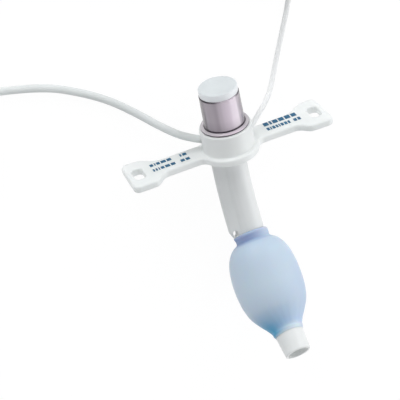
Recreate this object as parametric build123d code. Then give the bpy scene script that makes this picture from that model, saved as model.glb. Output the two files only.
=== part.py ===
from build123d import *
import math
import os

# Cuffed tracheostomy tube with a talk line, lying on its convex back. Millimetres, +Z up.
#
# The airway pieces are drawn in the tube's own frame and then laid down: X runs along the wings,
# Y runs out along the connector, and Z points to the inside of the bend. The tube's centreline leaves
# the flange's top face along -Y and bends towards +Z. A station is a length along that centreline.

# Fits and cutting
overrun = 1.0
glue_gap = 0.02
running_gap = 0.05
seat_gap = 0.05

# Neck flange: the two wings
half_span = 40.8
end_skew = 0.7
wing_thickness = 3.0
end_near = 6.9
end_far = 11.9
waist_near = 2.8
waist_far = 7.0
paddle_near = 8.0
ramp_near = 7.4
paddle_far = 3.6
ramp_far = 12.5
end_corner = 2.4
wing_round = 0.85
root_corner = 3.0
slot_width = 4.2
slot_length = 7.5
slot_corner = 1.5
slot_from_end = 4.8
slot_shift = 2.0
slot_round = 0.5

# Neck flange: the hub
hub_radius = 10.0
hub_height = 9.0
hub_round = 0.7
base_ledge = 1.5
root_fillet_share = 0.9

# Airway tube
tube_radius = 5.5
bore_radius = 4.0
straight_length = 6.4
bend_radius = 78.5
bend_angle = 53.5
tip_length = 8.0
tip_radius = 5.0
tip_round = 0.4

# Talk channel: the ridge along the tube's side, its lumen and the port above the cuff
ridge_radius = 1.8
ridge_offset = 6.4
ridge_root_radius = 5.0
ridge_root_offset = 0.4
ridge_top = 1.8
ridge_full = 34.9
ridge_end = 39.9
ridge_end_radius = 1.0
ridge_end_offset = 5.1
channel_radius = 0.8
port_station = 35.6
port_offset = 6.15
port_width = 1.9
port_length = 2.6

# Inflation lumen in the tube's other wall, and the notch that opens it into the cuff
lumen_radius = 0.4
lumen_offset = 4.75
notch_station = 50.0
notch_radius = 0.6

# Cuff
cuff_collar_radius = 6.6
cuff_neck_radius = 6.1
cuff_max_radius = 13.3
cuff_wall = 0.5
cuff_over_ridge = 0.35
cuff_start = 37.6
cuff_collar_length = 3.4
cuff_balloon_length = 36.0
cuff_tail_length = 2.4
# The balloon's outline: how far along it, and how much of the way from its neck to its full radius
cuff_outline_shares = ((0.0, 0.0), (0.035, 0.32), (0.1, 0.62), (0.2, 0.85), (0.32, 0.965), (0.45, 1.0),
                       (0.58, 0.965), (0.7, 0.86), (0.8, 0.69), (0.9, 0.4), (0.965, 0.16), (1.0, 0.0))

# Airway connector: 15 mm cone, ring and spigot
cone_tip_radius = 7.61
cone_length = 13.1
cone_taper = 1 / 80
cone_bore_radius = 6.0
cone_mouth_chamfer = 0.3
cone_foot_fillet = 0.45
ring_radius = 9.3
ring_thickness = 0.9
ring_round = 0.3
funnel_length = 2.0
spigot_radius = 4.7
spigot_length = 7.2

# Mouth plug
plug_head_radius = 7.4
plug_head_thickness = 2.85
plug_head_round = 0.55
plug_skirt_length = 7.0
plug_wall = 1.1
plug_lead = 0.4

# Talk line and inflation line: where each leaves the hub, and its way down to the table.
# An azimuth is counted from the wing towards the hub's back, a lean towards the connector.
talk_diameter = 3.0
talk_height = 4.6
talk_azimuth = 17.0
talk_out_azimuth = 17.0
talk_lean = 19.3
talk_out_length = 5.5
talk_coil_radius = 15.5
talk_turns = 2.25
talk_tail_runs = (8.0, 9.0, 9.0)
inflation_diameter = 2.0
inflation_height = 3.8
inflation_azimuth = 3.0
inflation_out_azimuth = 20.5
inflation_lean = 36.9
inflation_out_length = 5.0
inflation_coil_radius = 11.0
inflation_turns = 3.286
inflation_tail_runs = (7.0, 9.0, 9.0)
socket_depth = 2.6
coil_lead_share = 1.1
coil_pitch_share = 1.02
bend_share = 0.45

# The routes on the table, after the straight way out of the hub, up to where each coil begins
talk_route = [
    (-21.5, 41.5, 5.9), (-28.4, 48.4, 2.5), (-37.0, 56.4, 1.5), (-46.8, 63.0, 1.5),
    (-58.5, 69.0, 1.5), (-78.5, 73.8, 1.5), (-98.6, 77.8, 1.5),
]
inflation_route = [
    (19.2, 38.5, 8.0), (23.6, 42.0, 4.4), (28.0, 48.6, 1.7), (32.6, 57.0, 1.0),
    (38.4, 68.0, 1.0), (43.0, 78.4, 1.0), (46.3, 87.9, 1.0),
]

# Talk line's end: a plain female connector with a grip collar
talk_sleeve_length = 4.5
talk_sleeve_radius = 2.6
talk_body_length = 20.0
talk_body_radius = 3.1
talk_mouth_radius = 3.5
talk_collar_radius = 3.7
talk_collar_start = 2.0
talk_collar_length = 4.0
talk_rib_count = 12
talk_rib_depth = 0.4
talk_through_radius = 1.2
luer_mouth_radius = 2.157
luer_depth = 7.5
luer_taper = 0.03

# Pilot balloon
pilot_length = 34.0
pilot_half_width = 7.0
pilot_half_height = 4.4
pilot_neck_radius = 2.2
pilot_sleeve_length = 4.0
pilot_valve_sleeve_radius = 4.0
pilot_valve_sleeve_length = 5.0
pilot_wall = 0.45
pilot_outline_shares = ((0.0, 0.0), (0.08, 0.3), (0.2, 0.68), (0.35, 0.94), (0.5, 1.0), (0.68, 0.95),
                        (0.84, 0.66), (0.94, 0.3), (1.0, 0.0))

# Pilot valve: its body, the spring retainer, the spring, the plunger and the seal
valve_inner_radius = 3.2
valve_inner_length = 11.0
valve_outer_radius = 3.6
valve_length = 20.0
valve_lug_radius = 4.2
valve_lug_length = 1.6
valve_lug_width = 3.2
chamber_radius = 2.4
chamber_length = 9.0
valve_seat_thickness = 1.2
valve_seat_hole_radius = 1.4
valve_luer_depth = 5.6
valve_waist_radius = 1.75
retainer_length = 1.4
retainer_hole_radius = 0.45
retainer_hole_circle = 1.6
retainer_hole_count = 4
plunger_head_radius = 1.95
plunger_head_length = 1.2
plunger_stem_radius = 1.15
plunger_rib = 0.7
plunger_recess = 5.8
plunger_pin_radius = 0.6
plunger_pin_length = 3.0
seal_thickness = 1.1
spring_wire_radius = 0.2
spring_radius = 1.35
spring_turns = 5

# The tube's section planes
bend_centre = (0, -straight_length, bend_radius)
arc_length = math.radians(bend_angle) * bend_radius
tip_station = straight_length + arc_length + tip_length
cone_bottom = hub_height + ring_thickness
cone_top = cone_bottom + cone_length
base_radius = hub_radius + base_ledge
tube_top = hub_height - seat_gap
root_fillet = root_fillet_share * (base_ledge - wing_round)


def station(length):
    """The section plane at a length along the centreline; its x is along the wings, its y to the bend's centre."""
    turn = min(max(length - straight_length, 0) / bend_radius, math.radians(bend_angle))
    past = max(length - straight_length - arc_length, 0)
    along = Vector(0, -math.cos(turn), math.sin(turn))
    before = min(length, straight_length)
    point = Vector(0, -before - bend_radius * math.sin(turn), bend_radius * (1 - math.cos(turn)))
    return Plane(origin=point + along * past, x_dir=(1, 0, 0), z_dir=along)


def swept(section, start, end):
    """A section, drawn about the centreline, carried along it from one station to another."""
    parts = []
    before_end = min(end, straight_length)
    if start < before_end:
        parts.append(extrude(station(start) * section, before_end - start, dir=(0, -1, 0)))
    bend_start = max(start, straight_length)
    bend_end = min(end, straight_length + arc_length)
    if bend_start < bend_end:
        turn = math.degrees((bend_end - bend_start) / bend_radius)
        axis = Axis(bend_centre, (-1, 0, 0))
        parts.append(revolve(station(bend_start) * section, axis=axis, revolution_arc=turn))
    past_start = max(start, straight_length + arc_length)
    if past_start < end:
        plane = station(past_start)
        parts.append(extrude(plane * section, end - past_start, dir=plane.z_dir))
    whole = parts[0]
    for part in parts[1:]:
        whole = whole + part
    return whole


def turned(points):
    """A solid turned about the connector's axis from (radius, height) points."""
    return revolve(make_face(Polyline(*points, close=True)), axis=Axis.Y)


def circles_at(shape, radius, height):
    """The circular edges of a given radius at a given height on the connector's axis."""
    found = []
    for edge in shape.edges().filter_by(GeomType.CIRCLE):
        centre = edge.arc_center
        if abs(edge.radius - radius) < running_gap and abs(centre.Y - height) < running_gap:
            found.append(edge)
    return found


class LineExit:
    """Where a line leaves the hub: its socket and the first points of its route."""

    def __init__(self, side, diameter, height, azimuth, out_azimuth, lean, out_length):
        seat = math.radians(azimuth)
        turn = math.radians(out_azimuth)
        rise = math.radians(lean)
        self.radius = diameter / 2
        self.out_length = out_length
        self.surface = Vector(side * hub_radius * math.cos(seat), height, -hub_radius * math.sin(seat))
        self.heading = Vector(side * math.cos(rise) * math.cos(turn), math.sin(rise),
                              -math.cos(rise) * math.sin(turn))

    def socket(self):
        """The blind hole that the line's end is glued into."""
        plane = Plane(origin=self.surface - self.heading * socket_depth, z_dir=self.heading)
        return extrude(plane * Circle(self.radius + glue_gap), socket_depth + tube_radius)

    def passage(self, start):
        """The small drilling from a point in the hub to the middle of the socket's floor."""
        way = self.surface - self.heading * socket_depth - start
        return extrude(Plane(origin=start, z_dir=way) * Circle(channel_radius), way.length)

    def points(self, place):
        """The socket's floor and the end of the straight way out, on the table."""
        inner = self.surface - self.heading * socket_depth
        outer = self.surface + self.heading * self.out_length
        return [(place * Pos(inner)).position, (place * Pos(outer)).position]


talk_line_exit = LineExit(-1, talk_diameter, talk_height, talk_azimuth, talk_out_azimuth, talk_lean,
                          talk_out_length)
inflation_line_exit = LineExit(1, inflation_diameter, inflation_height, inflation_azimuth,
                               inflation_out_azimuth, inflation_lean, inflation_out_length)


def wing_outline():
    """Half of the flange's outline, from its middle to one end: the paddle, its ramps and its waist."""
    near_inner = half_span - paddle_near - ramp_near
    near_outer = half_span - paddle_near
    far_end = half_span - end_skew
    far_inner = far_end - paddle_far - ramp_far
    far_outer = far_end - paddle_far
    near_middle = (near_inner + near_outer) / 2
    far_middle = (far_inner + far_outer) / 2
    edges = [
        Line((0, waist_near), (near_inner, waist_near)),
        Bezier((near_inner, waist_near), (near_middle, waist_near), (near_middle, end_near),
               (near_outer, end_near)),
        Line((near_outer, end_near), (half_span, end_near)),
        Line((half_span, end_near), (far_end, -end_far)),
        Line((far_end, -end_far), (far_outer, -end_far)),
        Bezier((far_outer, -end_far), (far_middle, -end_far), (far_middle, -waist_far),
               (far_inner, -waist_far)),
        Line((far_inner, -waist_far), (0, -waist_far)),
        Line((0, -waist_far), (0, waist_near)),
    ]
    half = make_face(Wire(edges))
    ends = half.vertices().sort_by(Axis.X)[-2:]
    return fillet(ends, end_corner)


def ridge_outline(out, radius, grow=0.0):
    """The talk ridge's section: a small round that runs into the tube's flank along straight tangents."""
    small = Pos(-out, 0) * Circle(radius + grow)
    root = Pos(-ridge_root_offset, 0) * Circle(ridge_root_radius + grow)
    return make_hull(small.edges() + root.edges())


def ridge_nose(start, grow=0.0):
    """The ridge's lower end, which runs out under the cuff's collar, from a station on."""
    share = max(start - ridge_full, 0) / (ridge_end - ridge_full)
    out = ridge_offset + (ridge_end_offset - ridge_offset) * share
    radius = ridge_radius + (ridge_end_radius - ridge_radius) * share
    return loft([station(start) * ridge_outline(out, radius, grow),
                 station(ridge_end) * ridge_outline(ridge_end_offset, ridge_end_radius, grow)])


def neck_flange():
    """The moulded hub with its two wings, the tie slots, the tube's bore and the sockets for the lines."""
    half = wing_outline()
    outline = half + mirror(half, Plane.YZ) + Circle(base_radius)
    roots = [v for v in outline.vertices() if abs(math.hypot(v.X, v.Y) - base_radius) < running_gap]
    outline = fillet(roots, root_corner)
    plate = extrude(station(0) * outline, wing_thickness, dir=(0, -1, 0))
    faces = plate.faces().sort_by(Axis.Y)
    plate = fillet(faces[0].edges() + faces[-1].edges(), wing_round)
    slot = RectangleRounded(slot_width, slot_length, slot_corner)
    for side in (-1, 1):
        place = Pos(side * (half_span - slot_from_end), -slot_shift)
        cutter = extrude(station(-overrun) * (place * slot), wing_thickness + 2 * overrun, dir=(0, -1, 0))
        plate = plate - cutter
    top = plate.faces().sort_by(Axis.Y)[-1]
    bottom = plate.faces().sort_by(Axis.Y)[0]
    rims = [edge for face in (top, bottom) for wire in face.inner_wires() for edge in wire.edges()]
    plate = fillet(rims, slot_round)
    hub = turned(((0, -wing_thickness), (hub_radius, -wing_thickness), (hub_radius, hub_height), (0, hub_height)))
    body = plate + hub
    body = fillet(circles_at(body, hub_radius, 0), root_fillet)
    body = fillet(circles_at(body, hub_radius, hub_height), hub_round)
    bore = extrude(station(-hub_height - overrun) * Circle(tube_radius + glue_gap),
                   hub_height + wing_thickness + 2 * overrun, dir=(0, -1, 0))
    ridge_seat = extrude(station(-ridge_top - seat_gap) * ridge_outline(ridge_offset, ridge_radius, glue_gap),
                         ridge_top + wing_thickness + overrun, dir=(0, -1, 0))
    body = body - bore - ridge_seat - talk_line_exit.passage(Vector(-ridge_offset, ridge_top, 0))
    for line in (talk_line_exit, inflation_line_exit):
        body = body - line.socket()
    return body


def airway_tube():
    """The bent tube with its tapered tip, the talk ridge and its port, and both small lumens."""
    tip_base = station(tip_station - tip_length)
    body = swept(Circle(tube_radius), -tube_top, tip_station - tip_length)
    tip = loft([tip_base * Circle(tube_radius), station(tip_station) * Circle(tip_radius)])
    tip = fillet(tip.edges().filter_by(GeomType.CIRCLE).group_by(SortBy.RADIUS)[0], tip_round)
    ridge = swept(ridge_outline(ridge_offset, ridge_radius), -ridge_top, ridge_full)
    body = body + tip + ridge + ridge_nose(ridge_full)
    body = body - swept(Circle(bore_radius), -tube_top - overrun, tip_station + overrun)
    body = body - swept(Circle(spigot_radius + glue_gap), -tube_top - overrun, spigot_length - hub_height)
    channel = swept(Pos(-ridge_offset, 0) * Circle(channel_radius), -ridge_top - overrun, port_station)
    body = body - channel
    port = extrude(Plane.XZ * Rot(Z=90) * SlotOverall(port_length, port_width), 2 * tube_radius, both=True)
    body = body - station(port_station) * (Pos(-port_offset, 0) * port)
    body = body - swept(Pos(lumen_offset, 0) * Circle(lumen_radius), 0, notch_station)
    notch = Pos(lumen_offset + tube_radius / 2, 0) * Rot(Y=90) * Cylinder(notch_radius, tube_radius)
    return body - station(notch_station) * notch


def balloon(inset):
    """The balloon's closed form between its two necks, its surface moved in by a wall."""
    start = cuff_start + cuff_collar_length
    least = tube_radius + glue_gap
    sections = []
    for along, out in cuff_outline_shares:
        neck = cuff_collar_radius + (cuff_neck_radius - cuff_collar_radius) * along
        radius = neck + (cuff_max_radius - neck) * out
        sections.append(station(start + along * cuff_balloon_length) * Circle(max(radius - inset, least)))
    return loft(sections)


def cuff():
    """The inflated balloon, a thin shell, with a glued collar at each end."""
    start = cuff_start + cuff_collar_length
    end = start + cuff_balloon_length
    inner = tube_radius + glue_gap
    collar = swept(Circle(cuff_collar_radius), cuff_start, start) + ridge_nose(cuff_start, cuff_over_ridge)
    collar = collar - swept(Circle(inner), cuff_start - overrun, start + overrun)
    collar = collar - ridge_nose(cuff_start - overrun, glue_gap)
    tail = swept(Circle(cuff_neck_radius) - Circle(inner), end, end + cuff_tail_length)
    shell = balloon(0) - balloon(cuff_wall)
    return shell + collar + tail


def airway_connector():
    """The clear connector: 15 mm cone, seating ring, funnel and the spigot inside the tube."""
    foot_radius = cone_tip_radius + cone_length * cone_taper
    spigot_bottom = hub_height - spigot_length
    body = turned((
        (bore_radius, spigot_bottom), (spigot_radius, spigot_bottom), (spigot_radius, hub_height),
        (ring_radius, hub_height), (ring_radius, cone_bottom), (foot_radius, cone_bottom),
        (cone_tip_radius, cone_top), (cone_bore_radius, cone_top),
        (cone_bore_radius, cone_bottom + funnel_length), (bore_radius, cone_bottom),
    ))
    body = fillet(circles_at(body, foot_radius, cone_bottom), cone_foot_fillet)
    rims = circles_at(body, ring_radius, cone_bottom) + circles_at(body, ring_radius, hub_height)
    rims += circles_at(body, cone_tip_radius, cone_top)
    body = fillet(rims, ring_round)
    return chamfer(circles_at(body, cone_bore_radius, cone_top), cone_mouth_chamfer)


def mouth_plug():
    """The push-in plug: a flat round head over a hollow skirt."""
    skirt_radius = cone_bore_radius - running_gap
    seat = cone_top + seat_gap
    top = seat + plug_head_thickness
    low = seat - plug_skirt_length
    body = turned((
        (0, seat), (skirt_radius - plug_wall, seat), (skirt_radius - plug_wall, low), (skirt_radius, low),
        (skirt_radius, seat), (plug_head_radius, seat), (plug_head_radius, top), (0, top),
    ))
    body = chamfer(circles_at(body, skirt_radius, low), plug_lead)
    body = fillet(circles_at(body, plug_head_radius, seat), plug_head_round / 2)
    return fillet(circles_at(body, plug_head_radius, top), plug_head_round)


def revolved_along(points):
    """A solid turned about the X axis from (distance along X, radius) points."""
    return revolve(make_face(Polyline(*points, close=True)), axis=Axis.X)


def back_edges():
    """The rounded edges that may touch the table: the centre of each round in section, and its radius."""
    return [
        (wing_round - wing_thickness, wing_round - end_far, wing_round),
        (wing_round - wing_thickness, wing_round - base_radius, wing_round),
        (hub_height - hub_round, hub_round - hub_radius, hub_round),
    ]


def cuff_low(tilt):
    """The lowest point of the cuff when the tube is laid back by an angle in degrees."""
    up = Vector(0, math.sin(math.radians(tilt)), math.cos(math.radians(tilt)))
    start = cuff_start + cuff_collar_length
    lows = []
    for along, out in cuff_outline_shares:
        neck = cuff_collar_radius + (cuff_neck_radius - cuff_collar_radius) * along
        plane = station(start + along * cuff_balloon_length)
        across = math.sqrt(1 - plane.z_dir.dot(up) ** 2)
        lows.append(plane.origin.dot(up) - (neck + (cuff_max_radius - neck) * out) * across)
    return min(lows)


def resting_tilt():
    """The angle at which the wings' back edges and the cuff touch one flat table."""
    low, high = 0.0, 60.0
    while high - low > running_gap / half_span:
        tilt = (low + high) / 2
        turn = math.radians(tilt)
        edge = min(y * math.sin(turn) + z * math.cos(turn) - r for y, z, r in back_edges())
        if cuff_low(tilt) > edge:
            low = tilt
        else:
            high = tilt
    return (low + high) / 2


def turn_between(before, after):
    """Half the turn of a route at a corner, in radians."""
    return math.radians(before.get_angle(after)) / 2


def cord_tube(name, points, diameter):
    """A free line: straight runs joined by arcs as large as the runs allow, swept with its round section."""
    points = [Vector(point) for point in points]
    radii = []
    for before, corner, after in zip(points, points[1:], points[2:]):
        into, out = corner - before, after - corner
        shorter = min(into.length, out.length)
        radii.append(bend_share * shorter / math.tan(turn_between(into, out)))
    path = FilletPolyline(*points, radius=radii)
    section = Plane(origin=path @ 0, z_dir=path % 0) * Circle(diameter / 2)
    tube = sweep(section, path=path)
    expected = math.pi * diameter ** 2 / 4 * path.length
    print(f"{name}: length {path.length:.1f}, smallest arc {min(radii):.1f}, "
          f"volume {tube.volume:.1f} of {expected:.1f}")
    return tube, path


class Coil:
    """The put-away length of a line: a round coil that the route runs into, and its tail to the end piece."""

    def __init__(self, name, route, diameter, radius, turns, tail_runs, rest_height):
        self.name = name
        self.diameter = diameter
        self.radius = radius
        self.turns = turns
        self.start = Vector(route[-1])
        self.heading = (self.start - Vector(route[-2])).normalized()
        self.lead = coil_lead_share * math.sqrt((radius + diameter) ** 2 - radius ** 2)
        self.centre = self.start + self.heading.rotate(Axis.Z, 90) * radius
        self.rise = turns * diameter * coil_pitch_share
        self.out_heading = self.heading.rotate(Axis.Z, 360 * turns)
        self.leave = self.centre + self.out_heading.rotate(Axis.Z, -90) * radius + Vector(0, 0, self.rise)
        first, second, third = tail_runs
        drop = Vector(0, 0, self.leave.Z - rest_height)
        self.tail = [
            self.leave,
            self.leave + self.out_heading * first - drop / 8,
            self.leave + self.out_heading * (first + second) - drop,
            self.leave + self.out_heading * (first + second + third) - drop,
        ]

    def ring(self):
        """The coil's outer form as one solid, with the stub where the route runs in."""
        height = self.rise + self.diameter
        inner = self.radius - self.diameter / 2
        outer = self.radius + self.diameter / 2
        base = Pos(self.centre.X, self.centre.Y, 0)
        ring = base * extrude(Circle(outer) - Circle(inner), height)
        stub = extrude(Plane(origin=self.start - self.heading * self.lead, z_dir=self.heading)
                       * Circle(self.diameter / 2), self.lead)
        return ring + stub

    def solid(self):
        """The ring with its tail, which lies down to the end piece."""
        tail, _ = cord_tube(f"{self.name} tail", self.tail, self.diameter)
        return self.ring() + tail

    def route_end(self):
        """Where the free stretch of the line meets the coil's stub."""
        return self.start - self.heading * self.lead

    def place(self):
        """The end piece's place: at the tail's end, with X along the line."""
        end = self.tail[-1]
        return Pos(end) * Rot(Z=math.degrees(math.atan2(self.out_heading.Y, self.out_heading.X)))

    def length(self):
        """The whole length of line in the coil and its tail."""
        turn_length = math.hypot(2 * math.pi * self.radius, self.diameter * coil_pitch_share)
        tail = sum((b - a).length for a, b in zip(self.tail, self.tail[1:]))
        return turn_length * self.turns + tail


def talk_connector():
    """The talk line's end: a sleeve on the line, a ribbed grip collar and a plain tapered socket."""
    floor_radius = luer_mouth_radius - luer_depth * luer_taper
    inner_end = -talk_sleeve_length
    line_radius = talk_diameter / 2 + glue_gap
    body = revolved_along((
        (inner_end, line_radius), (inner_end, talk_sleeve_radius), (0, talk_sleeve_radius),
        (talk_collar_start, talk_body_radius), (talk_collar_start + talk_collar_length, talk_body_radius),
        (talk_body_length, talk_mouth_radius), (talk_body_length, luer_mouth_radius),
        (talk_body_length - luer_depth, floor_radius), (talk_body_length - luer_depth, talk_through_radius),
        (0, talk_through_radius), (0, line_radius),
    ))
    collar = revolved_along((
        (talk_collar_start, talk_body_radius / 2), (talk_collar_start, talk_collar_radius),
        (talk_collar_start + talk_collar_length, talk_collar_radius),
        (talk_collar_start + talk_collar_length, talk_body_radius / 2),
    ))
    groove = Cylinder(talk_rib_depth, talk_collar_length + 2 * overrun)
    middle = talk_collar_start + talk_collar_length / 2
    for index in range(talk_rib_count):
        turn = 360 * index / talk_rib_count
        collar = collar - Rot(X=turn) * Pos(middle, 0, talk_collar_radius) * Rot(Y=90) * groove
    return body + collar


def pilot_form(inset):
    """The pilot balloon's pillow form, its surface moved in by a wall."""
    sections = []
    for along, out in pilot_outline_shares:
        neck = pilot_neck_radius + (pilot_valve_sleeve_radius - pilot_neck_radius) * along
        wide = neck + (pilot_half_width - neck) * out - inset
        tall = neck + (pilot_half_height - neck) * out - inset
        plane = Plane(origin=(along * pilot_length, 0, 0), x_dir=(0, 1, 0), z_dir=(1, 0, 0))
        sections.append(plane * Ellipse(wide, tall))
    return loft(sections)


def pilot_balloon():
    """The small balloon that shows how full the cuff is, with a sleeve for the line and one for the valve."""
    shell = pilot_form(0) - pilot_form(pilot_wall)
    line_radius = inflation_diameter / 2 + glue_gap
    valve_radius = valve_inner_radius + glue_gap
    sleeve = revolved_along((
        (-pilot_sleeve_length, line_radius), (-pilot_sleeve_length, pilot_neck_radius),
        (pilot_wall, pilot_neck_radius), (pilot_wall, line_radius),
    ))
    end = pilot_length + pilot_valve_sleeve_length
    valve_sleeve = revolved_along((
        (pilot_length - pilot_wall, valve_radius), (pilot_length - pilot_wall, pilot_valve_sleeve_radius),
        (end, pilot_valve_sleeve_radius), (end, valve_radius),
    ))
    return shell + sleeve + valve_sleeve


def valve_body():
    """The valve's body: spring chamber, seat and tapered socket, with two locking lugs at its mouth."""
    floor_radius = luer_mouth_radius - valve_luer_depth * luer_taper
    luer_floor = valve_length - valve_luer_depth
    body = revolved_along((
        (0, chamber_radius), (0, valve_inner_radius), (valve_inner_length, valve_inner_radius),
        (valve_inner_length, valve_outer_radius), (valve_length, valve_outer_radius),
        (valve_length, luer_mouth_radius), (luer_floor, floor_radius), (luer_floor, valve_waist_radius),
        (chamber_length + valve_seat_thickness, valve_waist_radius),
        (chamber_length + valve_seat_thickness, valve_seat_hole_radius),
        (chamber_length, valve_seat_hole_radius), (chamber_length, chamber_radius),
    ))
    lug_disc = Plane.YZ.offset(valve_length - valve_lug_length) * (
        Circle(valve_lug_radius) & Rectangle(2 * valve_lug_radius, valve_lug_width))
    lugs = extrude(lug_disc, valve_lug_length) - extrude(
        Plane.YZ.offset(valve_length - valve_lug_length - overrun) * Circle(valve_inner_radius),
        valve_lug_length + 2 * overrun)
    return body + lugs


def valve_retainer():
    """The ported disc that holds the spring in its chamber."""
    disc = extrude(Plane.YZ * Circle(chamber_radius - glue_gap), retainer_length)
    for index in range(retainer_hole_count):
        turn = 360 * index / retainer_hole_count
        hole = extrude(Plane.YZ * Circle(retainer_hole_radius), retainer_length + 2 * overrun)
        disc = disc - Rot(X=turn) * Pos(-overrun, 0, retainer_hole_circle) * hole
    return disc


def valve_plunger():
    """The plunger: a cross-shaped stem towards the mouth, a head, and the pin that the spring sits on."""
    seal_front = chamber_length - seat_gap
    head_front = seal_front - seal_thickness
    head_back = head_front - plunger_head_length
    stem_end = valve_length - plunger_recess
    head = extrude(Plane.YZ.offset(head_back) * Circle(plunger_head_radius), plunger_head_length)
    pin = extrude(Plane.YZ.offset(head_back - plunger_pin_length) * Circle(plunger_pin_radius),
                  plunger_pin_length)
    cross = Circle(plunger_stem_radius) & (Rectangle(2 * plunger_stem_radius, plunger_rib)
                                           + Rectangle(plunger_rib, 2 * plunger_stem_radius))
    stem = extrude(Plane.YZ.offset(head_front) * cross, stem_end - head_front)
    return head + pin + stem


def valve_seal():
    """The soft washer on the plunger's head that closes the seat."""
    front = chamber_length - seat_gap
    ring = Circle(plunger_head_radius) - Circle(plunger_stem_radius + glue_gap)
    return extrude(Plane.YZ.offset(front - seal_thickness) * ring, seal_thickness)


def valve_spring():
    """The coil spring between the retainer and the plunger's head."""
    start = retainer_length + spring_wire_radius + seat_gap
    head_back = chamber_length - seat_gap - seal_thickness - plunger_head_length
    end = head_back - spring_wire_radius - seat_gap
    path = Helix(pitch=(end - start) / spring_turns, height=end - start, radius=spring_radius)
    wire = sweep(Plane(origin=path @ 0, z_dir=path % 0) * Circle(spring_wire_radius), path=path, is_frenet=True)
    return Pos(start, 0, 0) * Rot(Y=90) * wire


tilt = resting_tilt()
laid_back = Location((0, 0, 0), (tilt, 0, 0))
upright = {
    "neck_flange": neck_flange(),
    "airway_tube": airway_tube(),
    "cuff": cuff(),
    "airway_connector": airway_connector(),
    "mouth_plug": mouth_plug(),
}
laid = {node: laid_back * shape for node, shape in upright.items()}
boxes = {node: shape.bounding_box() for node, shape in laid.items()}
floor = min(box.min.Z for box in boxes.values())
middle = (min(box.min.Y for box in boxes.values()) + max(box.max.Y for box in boxes.values())) / 2
place = Pos(0, -middle, -floor) * laid_back
pieces = {node: Pos(0, -middle, -floor) * shape for node, shape in laid.items()}

talk_points = talk_line_exit.points(place) + talk_route
inflation_points = inflation_line_exit.points(place) + inflation_route
talk_coil = Coil("talk line", talk_points, talk_diameter, talk_coil_radius, talk_turns, talk_tail_runs,
                 talk_collar_radius)
inflation_coil = Coil("inflation line", inflation_points, inflation_diameter, inflation_coil_radius,
                      inflation_turns, inflation_tail_runs, pilot_half_height)
for name, points, coil, diameter in (
        ("talk_line", talk_points, talk_coil, talk_diameter),
        ("inflation_line", inflation_points, inflation_coil, inflation_diameter)):
    tube, path = cord_tube(name, points[:-1] + [coil.route_end()], diameter)
    pieces[name] = tube
    pieces[f"{name}_coil"] = coil.solid()
    print(name, "whole length", round(path.length + coil.lead + coil.length(), 1))

pieces["talk_connector"] = talk_coil.place() * talk_connector()
pilot_place = inflation_coil.place()
valve_place = pilot_place * Pos(pilot_length, 0, 0)
pieces["pilot_balloon"] = pilot_place * pilot_balloon()
pieces["valve_body"] = valve_place * valve_body()
pieces["valve_retainer"] = valve_place * valve_retainer()
pieces["valve_spring"] = valve_place * valve_spring()
pieces["valve_plunger"] = valve_place * valve_plunger()
pieces["valve_seal"] = valve_place * valve_seal()

os.makedirs("parts", exist_ok=True)
for node, shape in pieces.items():
    export_step(shape, f"parts/{node}.step")
print(f"tilt {tilt:.3f}, lift {-floor:.3f}, shift {-middle:.3f}")
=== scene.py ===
"""The look of a cuffed tracheostomy tube that lies on a white table.

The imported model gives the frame. This script dresses its rigid pieces, puts soft pieces in place of the cuff,
the lines and the pilot balloon, and sets up the camera and the light.
"""

import logging
import math
from dataclasses import dataclass, field
from enum import Enum
from typing import Callable, Sequence

import bmesh
import bpy
from mathutils import Matrix, Vector

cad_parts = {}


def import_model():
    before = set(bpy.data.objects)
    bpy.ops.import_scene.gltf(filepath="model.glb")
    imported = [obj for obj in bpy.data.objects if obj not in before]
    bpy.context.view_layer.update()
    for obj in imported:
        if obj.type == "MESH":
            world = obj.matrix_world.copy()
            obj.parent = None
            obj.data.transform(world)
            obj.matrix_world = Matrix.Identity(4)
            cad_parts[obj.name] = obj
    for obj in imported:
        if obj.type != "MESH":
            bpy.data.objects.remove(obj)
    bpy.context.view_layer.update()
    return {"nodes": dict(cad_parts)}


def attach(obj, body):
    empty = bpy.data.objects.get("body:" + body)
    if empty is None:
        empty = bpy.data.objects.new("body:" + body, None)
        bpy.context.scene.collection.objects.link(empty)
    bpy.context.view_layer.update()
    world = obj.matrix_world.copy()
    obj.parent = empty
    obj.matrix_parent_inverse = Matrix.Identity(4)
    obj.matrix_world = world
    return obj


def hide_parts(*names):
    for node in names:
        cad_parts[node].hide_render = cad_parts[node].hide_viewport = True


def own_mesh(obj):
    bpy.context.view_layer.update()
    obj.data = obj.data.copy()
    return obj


log = logging.getLogger("tracheostomy_tube")

MM = 0.001
TUBE_BODY = "tube"


class Ramp(Enum):
    """How a colour ramp goes from one stop to the next."""

    SOFT = "EASE"
    STRAIGHT = "LINEAR"


class Grain(Enum):
    """How fine the noise of a finish is, as its scale per metre."""

    CLOUDED = 55.0
    WORN = 120.0
    MILKY = 140.0
    HAZY = 150.0
    FILM = 260.0
    SATIN = 300.0
    POLISHED = 700.0
    MOULDED = 900.0
    BROKEN = 1500.0
    FROSTED = 1800.0
    DRAWN = 2500.0


@dataclass(frozen=True)
class Place:
    """The way the upright device lies back on the table, from its own millimetres to the row's metres."""

    tilt_deg: float = 13.638
    lift: float = 12.120
    shift: float = 28.720

    def point(self, x: float, y: float, z: float) -> Vector:
        """Turn a point of the upright device into a point of the row.

        Args:
            x: Along the wings, in mm.
            y: Along the connector, outwards, in mm.
            z: Towards the inside of the tube's bend, in mm.

        Returns:
            The point in metres.
        """
        turned = self.direction(x, y, z)
        return (turned + Vector((0.0, self.shift, self.lift))) * MM

    def direction(self, x: float, y: float, z: float) -> Vector:
        """Turn a direction of the upright device into one of the row."""
        turn = math.radians(self.tilt_deg)
        return Vector((x, y * math.cos(turn) - z * math.sin(turn), y * math.sin(turn) + z * math.cos(turn)))


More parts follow.
